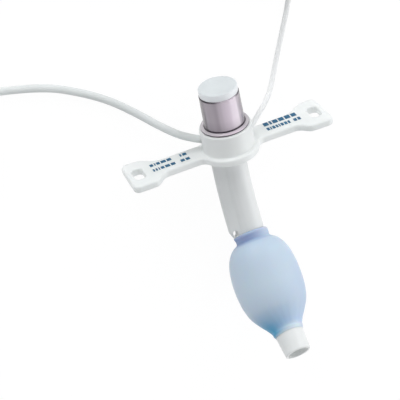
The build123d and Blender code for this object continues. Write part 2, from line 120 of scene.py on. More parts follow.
@dataclass(frozen=True)
class TubeAxis:
    """The bent centreline of the airway tube, in the upright device's millimetres."""

    place: Place
    straight: float = 6.4
    bend_radius: float = 78.5
    bend_deg: float = 53.5

    def station(self, length: float) -> tuple[Vector, Vector, Vector]:
        """Find the centreline at a length from the flange's face.

        Args:
            length: The length along the centreline, in mm.

        Returns:
            The centre in metres, and two unit directions across the tube: along the wings, and to the bend.
        """
        bend = math.radians(self.bend_deg)
        if length <= self.straight:
            turn, rest = 0.0, length - self.straight
        else:
            turn = min((length - self.straight) / self.bend_radius, bend)
            rest = length - self.straight - turn * self.bend_radius
        y = -self.straight - self.bend_radius * math.sin(turn) - rest * math.cos(turn)
        z = self.bend_radius * (1 - math.cos(turn)) + rest * math.sin(turn)
        centre = self.place.point(0.0, y, z)
        across = self.place.direction(1.0, 0.0, 0.0)
        inward = self.place.direction(0.0, math.sin(turn), math.cos(turn))
        return centre, across, inward


def new_object(name: str, data: bpy.types.ID) -> bpy.types.Object:
    """Put a new object into the scene.

    Args:
        name: The object's name.
        data: Its mesh, curve, light or camera.

    Returns:
        The object, at the origin.
    """
    thing = bpy.data.objects.new(name, data)
    bpy.context.scene.collection.objects.link(thing)
    return thing


class NodeGraph:
    """A node tree, built one node at a time."""

    def __init__(self, tree: bpy.types.NodeTree) -> None:
        """Start from a tree."""
        self.tree = tree

    def put(self, kind: str, **inputs: object) -> bpy.types.Node:
        """Add a node and set its inputs by name.

        Args:
            kind: The node's Blender type.
            inputs: Values for its inputs, with spaces in their names written as underscores.

        Returns:
            The new node.
        """
        node = self.tree.nodes.new(kind)
        for name, value in inputs.items():
            node.inputs[name.replace("_", " ")].default_value = value
        return node

    def join(self, source: bpy.types.NodeSocket, target: bpy.types.NodeSocket) -> None:
        """Link an output to an input."""
        self.tree.links.new(source, target)

    def combine(self, operation: str, first: bpy.types.NodeSocket,
                second: bpy.types.NodeSocket | float) -> bpy.types.NodeSocket:
        """Add an operation on two values.

        Args:
            operation: The operation's name.
            first: The first value.
            second: The second value, as a socket or as a plain number.

        Returns:
            The result.
        """
        node = self.tree.nodes.new("ShaderNodeMath")
        node.operation = operation
        self.join(first, node.inputs[0])
        if isinstance(second, float):
            node.inputs[1].default_value = second
        else:
            self.join(second, node.inputs[1])
        return node.outputs["Value"]

    def blend(self, share: bpy.types.NodeSocket, low: bpy.types.NodeSocket,
              high: bpy.types.NodeSocket) -> bpy.types.NodeSocket:
        """Mix two shaders.

        Args:
            share: The share of the second shader.
            low: The first shader.
            high: The second shader.

        Returns:
            The mixed shader.
        """
        node = self.put("ShaderNodeMixShader")
        self.join(share, node.inputs["Fac"])
        self.join(low, node.inputs[1])
        self.join(high, node.inputs[2])
        return node.outputs["Shader"]

    def looked_at(self) -> bpy.types.NodeSocket:
        """Tell the rays that look, straight or by way of gloss or glass, from those that only carry light.

        Returns:
            The value 1 for a ray that looks, and 0 for the others.
        """
        path = self.put("ShaderNodeLightPath")
        seen = self.combine("MAXIMUM", path.outputs["Is Camera Ray"], path.outputs["Is Glossy Ray"])
        return self.combine("MAXIMUM", seen, path.outputs["Is Transmission Ray"])


class Shader(NodeGraph):
    """A material's node tree around one Principled shader."""

    def __init__(self, name: str) -> None:
        """Start a material.

        Args:
            name: The material's name.
        """
        self.material = bpy.data.materials.new(name)
        self.material.use_nodes = True
        super().__init__(self.material.node_tree)
        self.surface = self.tree.nodes["Principled BSDF"]
        self.coordinates = self.tree.nodes.new("ShaderNodeTexCoord")

    def noise(self, grain: Grain, octaves: float) -> bpy.types.NodeSocket:
        """Add a noise on Object coordinates.

        Args:
            grain: How fine it is.
            octaves: How many octaves it has.

        Returns:
            The noise's factor output.
        """
        node = self.put("ShaderNodeTexNoise", Scale=grain.value, Detail=octaves)
        self.join(self.coordinates.outputs["Object"], node.inputs["Vector"])
        return node.outputs["Fac"]

    def ramp(self, factor: bpy.types.NodeSocket, stops: Sequence[tuple[float, Sequence[float]]],
             way: Ramp = Ramp.STRAIGHT) -> bpy.types.NodeSocket:
        """Add a colour ramp.

        Args:
            factor: What drives the ramp.
            stops: Its places and colours.
            way: How it blends between them.

        Returns:
            The ramp's colour output.
        """
        node = self.tree.nodes.new("ShaderNodeValToRGB")
        node.color_ramp.interpolation = way.value
        while len(node.color_ramp.elements) < len(stops):
            node.color_ramp.elements.new(0.5)
        for element, (position, color) in zip(node.color_ramp.elements, stops):
            element.position = position
            element.color = (*color[:3], 1.0)
        self.join(factor, node.inputs["Fac"])
        return node.outputs["Color"]

    def graded(self, factor: bpy.types.NodeSocket, stops: Sequence[tuple[float, float]],
               way: Ramp = Ramp.STRAIGHT) -> bpy.types.NodeSocket:
        """Grade a number by a factor."""
        return self.ramp(factor, [(at, [value] * 3) for at, value in stops], way)

    def attribute(self, name: str) -> bpy.types.NodeSocket:
        """Read a number that the mesh carries at each of its points.

        Args:
            name: The attribute's name.

        Returns:
            The number.
        """
        node = self.tree.nodes.new("ShaderNodeAttribute")
        node.attribute_name = name
        return node.outputs["Fac"]

    def mix(self, factor: bpy.types.NodeSocket, low: bpy.types.NodeSocket,
            high: bpy.types.NodeSocket | tuple[float, float, float]) -> bpy.types.NodeSocket:
        """Mix two colours by a factor.

        Args:
            factor: The share of the second colour.
            low: The first colour.
            high: The second colour, as a socket or as one plain colour.

        Returns:
            The mixed colour.
        """
        node = self.tree.nodes.new("ShaderNodeMix")
        node.data_type = "RGBA"
        self.join(factor, node.inputs["Factor"])
        self.join(low, node.inputs[6])
        if isinstance(high, tuple):
            node.inputs[7].default_value = (*high, 1.0)
        else:
            self.join(high, node.inputs[7])
        return node.outputs[2]

    def bump(self, height: bpy.types.NodeSocket, strength: float, distance: float) -> None:
        """Drive the surface's normal from a height.

        Args:
            height: The height's factor.
            strength: How much of it shows.
            distance: How high it stands, in metres.
        """
        node = self.put("ShaderNodeBump", Strength=strength, Distance=distance)
        self.join(height, node.inputs["Height"])
        self.join(node.outputs["Normal"], self.surface.inputs["Normal"])

    def vector(self, operation: str, first: bpy.types.NodeSocket,
               second: Vector | None = None) -> bpy.types.Node:
        """Add a vector operation.

        Args:
            operation: The operation's name.
            first: Its first vector.
            second: Its second vector, if it takes one.

        Returns:
            The node.
        """
        node = self.tree.nodes.new("ShaderNodeVectorMath")
        node.operation = operation
        self.join(first, node.inputs[0])
        if second is not None:
            node.inputs[1].default_value = second
        return node

    def banded(self, value: bpy.types.NodeSocket, bands: Sequence[tuple[float, float]],
               color: Sequence[float] = (1.0, 1.0, 1.0), way: Ramp = Ramp.STRAIGHT) -> bpy.types.NodeSocket:
        """Grade a colour by bands of a length.

        Args:
            value: The length, in metres.
            bands: Places along it in mm, and the share of the colour there.
            color: The colour.
            way: How one band blends into the next.

        Returns:
            The graded colour.
        """
        low, high = bands[0][0], bands[-1][0]
        node = self.put("ShaderNodeMapRange", From_Min=low * MM, From_Max=high * MM)
        self.join(value, node.inputs["Value"])
        stops = [((at - low) / (high - low), [share * channel for channel in color]) for at, share in bands]
        return self.ramp(node.outputs["Result"], stops, way)

    def profile(self, place: Place) -> bpy.types.NodeSocket:
        """Find how far up the outer profile of the connector or its plug a point lies.

        It is how far the point lies along their axis, less how far it lies from that axis. It grows all the
        way from the connector's ring to the middle of the plug's top.

        Args:
            place: The way the device lies.

        Returns:
            The length in metres.
        """
        axis = place.direction(0.0, 1.0, 0.0)
        local = self.vector("SUBTRACT", self.coordinates.outputs["Object"], place.point(0.0, 0.0, 0.0))
        height = self.vector("DOT_PRODUCT", local.outputs["Vector"], axis)
        across = self.vector("CROSS_PRODUCT", local.outputs["Vector"], axis)
        radius = self.vector("LENGTH", across.outputs["Vector"])
        return self.combine("SUBTRACT", height.outputs["Value"], radius.outputs["Value"])

    def set(self, **inputs: object) -> None:
        """Set inputs of the Principled shader by name."""
        for name, value in inputs.items():
            self.surface.inputs[name.replace("_", " ")].default_value = value


class Growth(NodeGraph):
    """A Geometry Nodes tree that grows a piece from a seed, with named inputs for its sizes and material."""

    def __init__(self, name: str, sizes: Sequence[str], dress: str) -> None:
        """Start a tree.

        Args:
            name: The tree's name.
            sizes: The names of its sizes.
            dress: The name of its material.
        """
        super().__init__(bpy.data.node_groups.new(name, "GeometryNodeTree"))
        face = self.tree.interface
        face.new_socket("Geometry", in_out="INPUT", socket_type="NodeSocketGeometry")
        for size in sizes:
            face.new_socket(size, in_out="INPUT", socket_type="NodeSocketFloat")
        face.new_socket(dress, in_out="INPUT", socket_type="NodeSocketMaterial")
        face.new_socket("Geometry", in_out="OUTPUT", socket_type="NodeSocketGeometry")
        self.inputs = self.put("NodeGroupInput").outputs
        self.dress = dress

    def end(self, geometry: bpy.types.NodeSocket) -> None:
        """Make the geometry real, dress it and hand it out.

        Args:
            geometry: What the tree has grown.
        """
        real = self.put("GeometryNodeRealizeInstances")
        self.join(geometry, real.inputs["Geometry"])
        dressed = self.put("GeometryNodeSetMaterial")
        self.join(real.outputs["Geometry"], dressed.inputs["Geometry"])
        self.join(self.inputs[self.dress], dressed.inputs["Material"])
        self.join(dressed.outputs["Geometry"], self.put("NodeGroupOutput").inputs["Geometry"])

    def grow(self, seed_mesh: bpy.types.Mesh, values: dict[str, object]) -> bpy.types.Mesh:
        """Grow a mesh from a seed.

        Args:
            seed_mesh: The mesh that the tree starts from.
            values: The tree's inputs by name.

        Returns:
            The grown mesh.
        """
        seed = new_object(seed_mesh.name, seed_mesh)
        growth = seed.modifiers.new("growth", "NODES")
        growth.node_group = self.tree
        for item in self.tree.interface.items_tree:
            if item.in_out == "INPUT" and item.name in values:
                growth[item.identifier] = values[item.name]
        seed_mesh.update()
        graph = bpy.context.evaluated_depsgraph_get()
        mesh = bpy.data.meshes.new_from_object(seed.evaluated_get(graph))
        seed.modifiers.remove(growth)
        bpy.data.objects.remove(seed)
        return mesh


@dataclass(frozen=True)
class Silicone:
    """Translucent white silicone rubber: soft shade, a faint clouding and a satin skin."""

    name: str
    light: tuple[float, float, float] = (0.84, 0.862, 0.853)
    cloud: tuple[float, float, float] = (0.80, 0.83, 0.822)
    roughness: float = 0.36
    depth: float = 0.35
    gloss: float = 0.12

    def build(self) -> bpy.types.Material:
        """Build the material.

        Returns:
            The material.
        """
        shader = Shader(self.name)
        shader.set(Roughness=self.roughness, Subsurface_Weight=self.depth, Subsurface_Scale=0.004,
                   Subsurface_Radius=(1.0, 1.0, 0.95), IOR=1.41, Coat_Weight=self.gloss, Coat_Roughness=0.25)
        clouds = shader.noise(Grain.CLOUDED, octaves=2.0)
        color = shader.ramp(clouds, [(0.35, self.cloud), (0.65, self.light)], Ramp.SOFT)
        shader.join(color, shader.surface.inputs["Base Color"])
        shader.bump(shader.noise(Grain.MOULDED, octaves=4.0), strength=0.10, distance=0.0001)
        return shader.material


@dataclass(frozen=True)
class ClearPlastic:
    """Hard see-through plastic with a mauve tint, painted with light and shade: lighter and darker across its
    width, dark lines and a light band where its profile steps, a dark line at its mouth, and darker where its
    wall turns away.

    Places are in mm, across the device or up the connector's profile. The painted edge shade goes by how far
    the wall turns away from the eye, the shine by how dark the wall is painted, and the worn roughness by a
    noise.
    """

    name: str
    place: Place
    tint: tuple[float, float, float] = (0.99, 0.875, 0.98)
    # Colour of the painted shade: the dark lines and the darker edges.
    line: tuple[float, float, float] = (0.02, 0.012, 0.025)
    # Colour of the painted highlight.
    painted_highlight: tuple[float, float, float] = (1.0, 0.96, 1.0)
    transmission: float = 0.30
    # Painted light and shade across the width in mm, as shares of the tint: darker over the left part and at
    # both edges, lightest right of the middle.
    painted_light_and_shade_across: tuple[tuple[float, float], ...] = (
        (-7.7, 0.24), (-7.0, 0.58), (-5.6, 0.62), (-4.3, 0.57), (-3.0, 0.77), (-1.4, 0.91), (-0.3, 0.96),
        (1.0, 1.0), (2.6, 1.0), (3.8, 0.98), (4.8, 0.71), (5.8, 0.48), (6.8, 0.38), (7.7, 0.25))
    # Painted shade up the profile in mm: dark lines at the ring and at the cone's foot, and a soft darkening up
    # the cone from its foot.
    lines: tuple[tuple[float, float], ...] = (
        (-0.3, 1.0), (0.05, 0.95), (0.3, 0.1), (0.9, 0.0), (1.8, 0.0), (2.15, 1.0), (2.65, 0.95), (3.0, 0.2),
        (4.6, 0.1), (7.0, 0.0))
    # Painted highlight up the profile in mm: a lighter band on the ring.
    bright: tuple[tuple[float, float], ...] = (
        (0.1, 0.0), (0.35, 0.45), (0.8, 0.8), (1.75, 0.8), (1.95, 0.0))
    # How strong the ring's painted highlight is across the width, strongest at the sides.
    painted_highlight_across: tuple[tuple[float, float], ...] = (
        (-9.3, 1.0), (-4.5, 0.9), (-2.0, 0.35), (1.0, 0.3), (4.0, 0.6), (7.0, 1.0), (9.3, 1.0))
    # Painted shade up the profile in mm: a dark line along the mouth's top edge, under the plug's head.
    mouth: tuple[tuple[float, float], ...] = ((14.8, 0.0), (15.1, 1.0), (15.7, 1.0))
    # How strong the mouth's painted shade is across the width, fainter in the middle.
    painted_mouth_shade_across: tuple[tuple[float, float], ...] = (
        (-7.6, 0.95), (-4.5, 0.8), (-2.0, 0.15), (3.5, 0.15), (5.5, 0.6), (7.6, 0.85))
    # Painted shade where the wall turns away from the eye, by Layer Weight facing.
    edge: tuple[tuple[float, float], ...] = ((0.66, 0.0), (0.90, 0.9))
    shine: tuple[tuple[float, float], ...] = ((0.25, 0.5), (0.7, 0.04))
    worn: tuple[tuple[float, float], ...] = ((0.3, 0.10), (0.75, 0.18))

    def build(self) -> bpy.types.Material:
        """Build the material.

        Returns:
            The material.
        """
        shader = Shader(self.name)
        shader.set(Transmission_Weight=self.transmission, IOR=1.49, Specular_IOR_Level=0.3,
                   Coat_Roughness=0.06)
        split = shader.tree.nodes.new("ShaderNodeSeparateXYZ")
        shader.join(shader.coordinates.outputs["Object"], split.inputs["Vector"])
        side = split.outputs["X"]
        # Painted light and shade across the width.
        body = shader.banded(side, self.painted_light_and_shade_across, self.tint, Ramp.SOFT)
        height = shader.profile(self.place)
        # Painted shade: a dark line along the mouth's top edge, fainter in the middle.
        mouth = shader.combine("MULTIPLY", shader.banded(height, self.mouth),
                               shader.banded(side, self.painted_mouth_shade_across))
        # Painted shade: dark lines where the profile steps, and a soft darkening up from the cone's foot.
        steps = shader.combine("MAXIMUM", shader.banded(height, self.lines), mouth)
        # Painted highlight: a lighter band on the ring, strongest at the sides.
        bright = shader.combine("MULTIPLY", shader.banded(height, self.bright),
                                shader.banded(side, self.painted_highlight_across))
        body = shader.mix(bright, body, shader.ramp(bright, [(0.0, self.tint), (1.0, self.painted_highlight)]))
        # Painted shade where the wall turns away from the eye.
        facing = shader.put("ShaderNodeLayerWeight", Blend=0.5)
        painted_edge_shade = shader.graded(facing.outputs["Facing"], self.edge, Ramp.SOFT)
        # All the painted shade: the dark lines, the mouth's line and the turned-away edges.
        dark = shader.combine("MAXIMUM", steps, painted_edge_shade)
        shader.join(shader.mix(dark, body, self.line), shader.surface.inputs["Base Color"])
        shader.join(shader.graded(dark, self.shine, Ramp.SOFT), shader.surface.inputs["Coat Weight"])
        worn = shader.graded(shader.noise(Grain.WORN, octaves=3.0), self.worn)
        shader.join(worn, shader.surface.inputs["Roughness"])
        shader.bump(shader.noise(Grain.POLISHED, octaves=2.0), strength=0.04, distance=0.00005)
        return shader.material


@dataclass(frozen=True)
class MouldedPlastic:
    """Milky moulded plastic, with a fine grain and a satin gloss."""

    name: str
    color: tuple[float, float, float]
    roughness: float = 0.3
    depth: float = 0.2
    wear: float = 0.12
    dull: float = 0.95

    def tint(self, shader: Shader) -> bpy.types.NodeSocket:
        """Cloud the colour a little.

        Args:
            shader: The finish's shader.

        Returns:
            The colour.
        """
        dull = [channel * self.dull for channel in self.color]
        milk = shader.noise(Grain.MILKY, octaves=3.0)
        return shader.ramp(milk, [(0.3, dull), (0.7, self.color)], Ramp.SOFT)

    def build(self) -> bpy.types.Material:
        """Build the material.

        Returns:
            The material.
        """
        shader = Shader(self.name)
        shader.set(Subsurface_Weight=self.depth, Subsurface_Scale=0.002, Subsurface_Radius=(1.0, 1.0, 1.0),
                   IOR=1.5)
        shader.join(self.tint(shader), shader.surface.inputs["Base Color"])
        worn = self.roughness + self.wear
        gloss = shader.graded(shader.noise(Grain.SATIN, octaves=2.0), [(0.2, self.roughness), (0.8, worn)])
        shader.join(gloss, shader.surface.inputs["Roughness"])
        shader.bump(shader.noise(Grain.MOULDED, octaves=3.0), strength=0.04, distance=0.00008)
        return shader.material


@dataclass(frozen=True)
class PlugPlastic(MouldedPlastic):
    """Milky plastic of the mouth plug, with painted light: its rim is painted lighter than its flat top.

    The rim's end is a place up the plug's profile, in mm.
    """

    place: Place = field(default_factory=Place)
    # Colour of the rim's painted light.
    rim: tuple[float, float, float] = (0.86, 0.885, 0.91)
    rim_end: tuple[tuple[float, float], ...] = ((17.9, 0.0), (18.8, 1.0))

    def tint(self, shader: Shader) -> bpy.types.NodeSocket:
        """Paint light on the rim, lighter than the top.

        Args:
            shader: The plug's shader.

        Returns:
            The colour.
        """
        # Painted light: the rim is lighter than the top.
        top = shader.banded(shader.profile(self.place), self.rim_end)
        rim = shader.ramp(top, [(0.0, self.rim), (1.0, self.rim)])
        return shader.mix(top, rim, super().tint(shader))


@dataclass(frozen=True)
class CuffFilm:
    """Frosted blue balloon film: periwinkle at the collar and pale over the barrel, with painted light on the
    collar's right side, painted shade on the barrel's right side, and deep teal painted shade low on its left
    side over its gathers.
    """

    name: str = "cuff_film"
    collar: tuple[float, float, float] = (0.27, 0.35, 0.58)
    collar_light: tuple[float, float, float] = (0.40, 0.50, 0.70)
    barrel: tuple[float, float, float] = (0.575, 0.65, 0.775)
    pale: tuple[float, float, float] = (0.615, 0.685, 0.79)
    # Deep teal: painted shade low on the left side, over the lower gathers.
    gathered: tuple[float, float, float] = (0.07, 0.355, 0.60)
    # Painted light on the collar's right side.
    collar_right_painted_light: tuple[float, float, float] = (0.50, 0.61, 0.77)
    # Painted shade on the barrel's right side.
    barrel_right_painted_shade: tuple[float, float, float] = (0.42, 0.53, 0.74)
    lower: tuple[float, float, float] = (0.51, 0.605, 0.785)
    tail: tuple[float, float, float] = (0.82, 0.84, 0.87)

    def build(self) -> bpy.types.Material:
        """Build the material.

        Returns:
            The material.
        """
        shader = Shader(self.name)
        shader.set(Roughness=0.46, IOR=1.45, Subsurface_Weight=0.25, Subsurface_Scale=0.003,
                   Sheen_Weight=0.15, Sheen_Roughness=0.5)
        along = shader.attribute("along")
        # How far the right side's painted light and shade reach.
        edge = shader.attribute("right_side_light_and_shade")
        low = shader.attribute("gather")
        lengthwise = shader.ramp(along, [
            (0.0, self.collar_light), (0.03, self.collar), (0.078, self.collar), (0.105, self.barrel),
            (0.5, self.pale), (0.75, self.barrel), (0.92, self.lower), (0.985, self.tail)])
        # Painted light on the collar's right side, and painted shade on the barrel's right side.
        right = shader.ramp(along, [(0.08, self.collar_right_painted_light), (0.2, self.barrel_right_painted_shade)])
        sided = shader.mix(edge, lengthwise, right)
        # Painted shade: deep teal low on the left side.
        shader.join(shader.mix(low, sided, self.gathered), shader.surface.inputs["Base Color"])
        shader.bump(shader.noise(Grain.FROSTED, octaves=3.0), strength=0.12, distance=0.00006)
        return shader.material


@dataclass(frozen=True)
class Ink:
    """Matt blue pad-printing ink, a little broken at its edges."""

    name: str = "print_ink"
    color: tuple[float, float, float] = (0.004, 0.086, 0.185)
    thin: tuple[float, float, float] = (0.025, 0.165, 0.29)

    def build(self) -> bpy.types.Material:
        """Build the material.

        Returns:
            The material.
        """
        shader = Shader(self.name)
        shader.set(Roughness=0.6)
        color = shader.ramp(shader.noise(Grain.BROKEN, octaves=2.0), [(0.4, self.color), (0.75, self.thin)])
        shader.join(color, shader.surface.inputs["Base Color"])
        return shader.material


@dataclass(frozen=True)
class SpringSteel:
    """Drawn stainless wire."""

    name: str = "spring_steel"
    grey: tuple[float, float, float] = (0.62, 0.62, 0.64)
    drawn: tuple[tuple[float, float], ...] = ((0.3, 0.2), (0.7, 0.34))

    def build(self) -> bpy.types.Material:
        """Build the material.

        Returns:
            The material.
        """
        shader = Shader(self.name)
        shader.set(Base_Color=(*self.grey, 1.0), Metallic=1.0)
        drawn = shader.graded(shader.noise(Grain.DRAWN, octaves=3.0), self.drawn)
        shader.join(drawn, shader.surface.inputs["Roughness"])
        return shader.material


def skin_rings(name: str, rings: Sequence[Sequence[Vector]]) -> bpy.types.Object:
    """Skin rings of points into a smooth shell that comes back on itself and faces outwards.

    Args:
        name: The object's name.
        rings: Rings of as many points each, in metres. The last one joins the first.

    Returns:
        The object, at the origin.
    """
    count = len(rings[0])
    faces = []
    for i in range(len(rings)):
        near, far = i * count, (i + 1) % len(rings) * count
        for j in range(count):
            k = (j + 1) % count
            faces.append((near + j, near + k, far + k, far + j))
    mesh = bpy.data.meshes.new(name)
    mesh.from_pydata([tuple(point) for ring in rings for point in ring], [], faces)
    model = bmesh.new()
    model.from_mesh(mesh)
    bmesh.ops.recalc_face_normals(model, faces=model.faces)
    model.to_mesh(mesh)
    model.free()
    mesh.polygons.foreach_set("use_smooth", [True] * len(mesh.polygons))
    mesh.update()
    return new_object(name, mesh)


def smooth_step(low: float, high: float, value: float) -> float:
    """Go smoothly from 0 at low to 1 at high.

    Args:
        low: Where the step begins.
        high: Where it ends.
        value: The place asked for.

    Returns:
        The share, from 0 to 1.
    """
    share = min(1.0, max(0.0, (value - low) / (high - low)))
    return share * share * (3 - 2 * share)


def spline_through(knots: Sequence[tuple[float, float]], at: float) -> float:
    """Read a smooth curve through knots.

    Args:
        knots: Places and values, in order.
        at: The place asked for.

    Returns:
        The value there.
    """
    if at <= knots[0][0]:
        return knots[0][1]
    for i in range(len(knots) - 1):
        x0, y0 = knots[i]
        x1, y1 = knots[i + 1]
        if at <= x1:
            before = knots[i - 1] if i else (2 * x0 - x1, y0)
            after = knots[i + 2] if i + 2 < len(knots) else (2 * x1 - x0, y1)
            m0 = (y1 - before[1]) / (x1 - before[0]) * (x1 - x0)
            m1 = (after[1] - y0) / (after[0] - x0) * (x1 - x0)
            t = (at - x0) / (x1 - x0)
            return ((2 * t ** 3 - 3 * t ** 2 + 1) * y0 + (t ** 3 - 2 * t ** 2 + t) * m0
                    + (3 * t ** 2 - 2 * t ** 3) * y1 + (t ** 3 - t ** 2) * m1)
    return knots[-1][1]


@dataclass(frozen=True)
class Gathers:
    """A belt of fine gathers in the cuff's film.

    Its depth is in mm, and so are the lengths along the tube between which it rises and fades.
    """

    depth: float
    rise: tuple[float, float]
    fade: tuple[float, float]

    def at(self, length: float) -> float:
        """Read how deep the gathers are at a length along the tube."""
        return self.depth * (smooth_step(*self.rise, length) * (1 - smooth_step(*self.fade, length)))


@dataclass(frozen=True)
class CuffTint:
    """Where the cuff's film takes its tints, and its painted light and shade by side. Rises, edges and fades
    are shares of the way along the film.
    """

    # The angle round the tube on which the painted light and shade by side are centred.
    side_turn: float = 0.35
    right_share: float = 0.55
    right_sharpness: int = 5
    right_rise: tuple[float, float] = (0.15, 0.5)
    collar_turn: tuple[float, float] = (-0.6, 0.9)
    collar_edge: tuple[float, float] = (0.08, 0.10)
    left_spread: float = 1.7
    gather_rise: tuple[float, float] = (0.66, 0.95)
    gather_bend: float = 1.4
    gather_strength: float = 1.3
    tail_fade: tuple[float, float] = (0.97, 1.0)

    def right_side_light_and_shade(self, share: float, turn: float) -> float:
        """Find how far the colour goes over to the right side's: painted light on the collar, painted shade on
        the barrel.

        Args:
            share: The place along the film, from 0 to 1.
            turn: The angle around the tube, in radians.

        Returns:
            The share of the right side's colour.
        """
        facing = max(0.0, math.cos(turn - self.side_turn)) ** self.right_sharpness
        on_barrel = self.right_share * facing * smooth_step(*self.right_rise, share)
        past_collar = smooth_step(*self.collar_edge, share)
        return on_barrel + smooth_step(*self.collar_turn, math.cos(turn)) * (1 - past_collar)

    def gather(self, share: float, turn: float) -> float:
        """Find how far the colour goes over to the deep teal over the lower gathers: painted shade on the left
        side only, away from the painted light.

        Args:
            share: The place along the film, from 0 to 1.
            turn: The angle around the tube, in radians.

        Returns:
            The share of the gathered film's colour.
        """
        leftward = (0.5 - 0.5 * math.cos(turn - self.side_turn)) ** self.left_spread
        low = smooth_step(*self.gather_rise, share) ** self.gather_bend * leftward
        return min(1.0, self.gather_strength * low * (1 - 0.5 * smooth_step(*self.tail_fade, share)))


@dataclass
class Cuff:
    """The barrel balloon on the tube: collar, filled barrel with gathered ends, and neck.

    Its sizes, and its places along the tube, are in mm. The wander of its pleats is in radians, and their
    twist in radians per mm.
    """

    axis: TubeAxis
    start: float = 37.6
    collar_end: float = 41.0
    balloon_end: float = 77.0
    end: float = 79.4
    collar_radius: float = 6.6
    neck_radius: float = 6.1
    shaft_radius: float = 5.54
    wall: float = 0.32
    nose_radius: float = 1.75
    nose_start: float = 7.45
    nose_end: float = 6.5
    nose_end_at: float = 39.9
    forward: float = 2.0
    forward_end: float = 56.0
    lip_round: float = 0.45
    lip_length: float = 0.6
    tail_round: float = 0.5
    tail_length: float = 1.4
    neck_blend: float = 0.6
    upper_gathers: Gathers = Gathers(0.02, (41.0, 42.2), (41.5, 50.0))
    lower_gathers: Gathers = Gathers(0.018, (63.0, 74.0), (76.0, 77.6))
    outline: tuple[tuple[float, float], ...] = (
        (41.0, 6.75), (42.2, 8.6), (43.5, 9.9), (45.7, 11.3), (49.0, 12.45), (53.0, 13.1), (57.0, 13.3),
        (61.0, 13.15), (65.0, 12.6), (69.0, 11.35), (72.8, 9.0), (75.0, 7.4), (77.0, 6.3), (77.6, 6.1))
    tint: CuffTint = CuffTint()
    pleats: int = 22
    wander: float = 0.8
    wanders: int = 3
    twist: float = 0.05
    rows: int = 120
    columns: int = 144

    def collar_reach(self, length: float, turn: float) -> float:
        """Find the collar's radius, drawn tight over the tube and the end of the ridge on its left side.

        Args:
            length: The length along the tube, in mm.
            turn: The angle around it, in radians.

        Returns:
            The radius in mm.
        """
        share = min(1.0, (length - self.start) / (self.nose_end_at - self.start))
        tip = self.nose_start + (self.nose_end - self.nose_start) * share - self.nose_radius
        if tip <= self.collar_radius - self.nose_radius:
            return self.collar_radius
        lean = math.acos((self.collar_radius - self.nose_radius) / tip)
        away = abs(math.remainder(turn - math.pi, 2 * math.pi))
        if away >= lean:
            return self.collar_radius
        touch = math.atan2(self.nose_radius * math.sin(lean), tip + self.nose_radius * math.cos(lean))
        if away > touch:
            return self.collar_radius / math.cos(lean - away)
        return tip * math.cos(away) + math.sqrt(self.nose_radius ** 2 - (tip * math.sin(away)) ** 2)

    def radius(self, length: float, turn: float) -> float:
        """Find the skin's radius.

        Args:
            length: The length along the tube, in mm.
            turn: The angle around it, in radians.

        Returns:
            The radius in mm.
        """
        if length < self.collar_end:
            rounded = smooth_step(self.start, self.start + self.lip_length, length)
            return self.collar_reach(length, turn) - self.lip_round * (1 - rounded)
        if length > self.balloon_end + self.neck_blend:
            rounded = smooth_step(self.end - self.tail_length, self.end, length)
            return self.neck_radius - self.tail_round * rounded
        base = spline_through(self.outline, length)
        drift = self.wander * math.sin(self.wanders * turn)
        wave = math.sin(self.pleats * turn + drift + self.twist * length)
        return base + wave * (self.upper_gathers.at(length) + self.lower_gathers.at(length))

    def inner_radius(self, length: float, turn: float) -> float:
        """Find the radius of the film's inner side, which is bonded to the shaft at the collar and the neck.

        Args:
            length: The length along the tube, in mm.
            turn: The angle around it, in radians.

        Returns:
            The radius in mm.
        """
        if length < self.collar_end or length > self.balloon_end + self.neck_blend:
            return self.shaft_radius
        return max(self.radius(length, turn) - self.wall, self.shaft_radius)

    def skin(self, radius_at: Callable[[float, float], float]) -> list[list[Vector]]:
        """Make the rings of one side of the film, whose upper end stands forward on the inside of the bend.

        Args:
            radius_at: Gives the radius in mm at a length and an angle.

        Returns:
            The rings of points, in metres.
        """
        rings = []
        for i in range(self.rows + 1):
            length = self.start + (self.end - self.start) * i / self.rows
            forward = self.forward * (1 - smooth_step(self.collar_end, self.forward_end, length))
            ring = []
            for j in range(self.columns):
                turn = 2 * math.pi * j / self.columns
                centre, across, inward = self.axis.station(length - forward * max(0.0, math.sin(turn)))
                out = across * math.cos(turn) + inward * math.sin(turn)
                ring.append(centre + out * radius_at(length, turn) * MM)
            rings.append(ring)
        return rings

    def build(self, film: bpy.types.Material) -> bpy.types.Object:
        """Build the cuff and dress it.

        Args:
            film: The balloon's material.

        Returns:
            The cuff, riding on the tube's body.
        """
        outer = self.skin(self.radius)
        inner = self.skin(self.inner_radius)
        thing = skin_rings("cuff_balloon", outer + inner[::-1])
        shares = [i / self.rows for i in range(self.rows + 1)]
        turns = [2 * math.pi * j / self.columns for j in range(self.columns)]
        places = [(share, turn) for share in shares + shares[::-1] for turn in turns]
        for name, values in (("along", [share for share, _ in places]),
                             ("right_side_light_and_shade", [self.tint.right_side_light_and_shade(*place) for place in places]),
                             ("gather", [self.tint.gather(*place) for place in places])):
            thing.data.attributes.new(name, "FLOAT", "POINT").data.foreach_set("value", values)
        thing.data.materials.append(film)
        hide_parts("cuff")
        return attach(thing, TUBE_BODY)


@dataclass(frozen=True)
class PrintRow:
    """One row of print on a wing, in mm, as blocks of colour. A negative block is a gap."""

    name: str
    start: float
    end: float
    across: float
    blocks: tuple[float, ...]
    height: float


